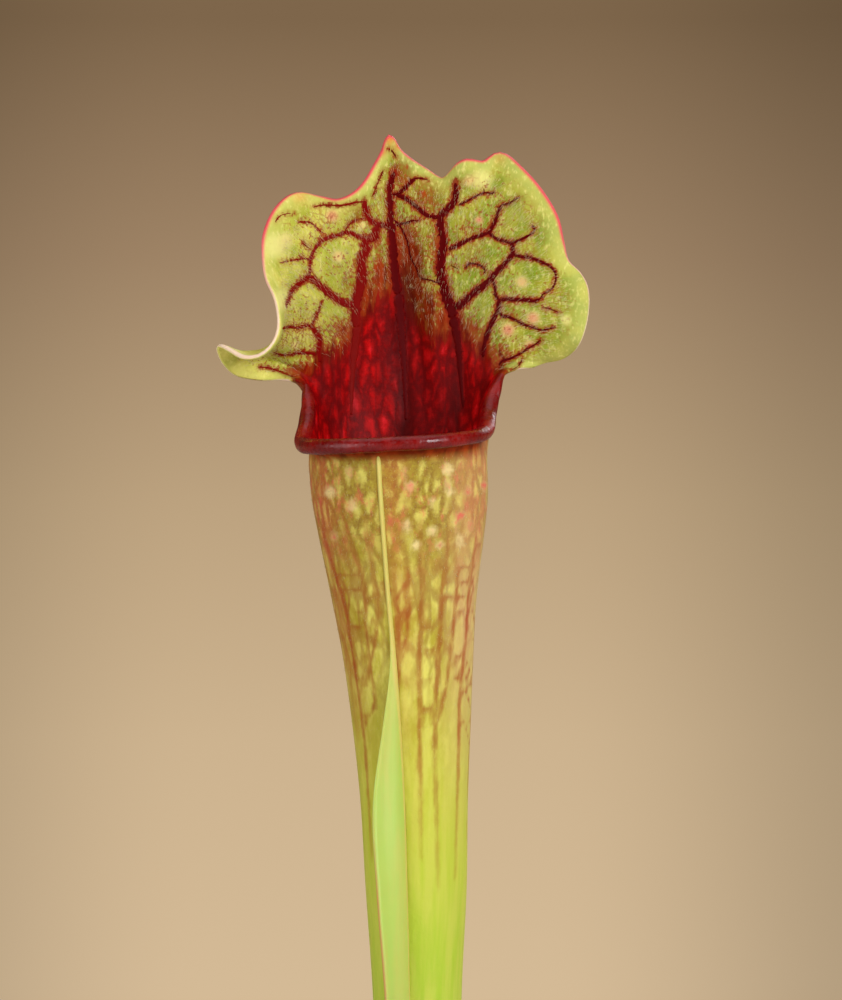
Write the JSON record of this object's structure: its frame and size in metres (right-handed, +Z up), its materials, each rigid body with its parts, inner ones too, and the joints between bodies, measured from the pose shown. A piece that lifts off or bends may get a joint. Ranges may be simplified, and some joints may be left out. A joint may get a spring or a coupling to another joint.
{
  "type": "potted pitcher plant",
  "caption": "Carnivorous trumpet pitcher plant in a round nursery pot: a tall hooded pitcher with a ruffled, net-veined hood, smaller pitchers, a young leaf, rhizome and soil.",
  "frame": {"origin": "centre of the pot's underside, on the surface that it stands on", "axes": "+Z up along the tall pitcher; the tall pitcher's mouth faces -Y; +X to the viewer's right"},
  "size_m": [0.104, 0.104, 0.3004],
  "materials": {
    "leaf": "waxy leaf, yellow-green hood with dark red veins, red throat and glossy red lip",
    "leaf_small": "waxy leaf, yellow-green with dark red veins",
    "leaf_young": "waxy young leaf, fresh green",
    "rhizome": "dull brown rhizome with papery bracts",
    "soil": "damp peat with perlite",
    "pot": "black moulded plastic, satin"
  },
  "bodies": {
    "root": {"pitcher_tall": "leaf", "pitcher_left": "leaf_small", "pitcher_right": "leaf_small", "young_leaf": "leaf_young", "rhizome": "rhizome", "soil": "soil", "pot": "pot"}
  },
  "joints": []
}
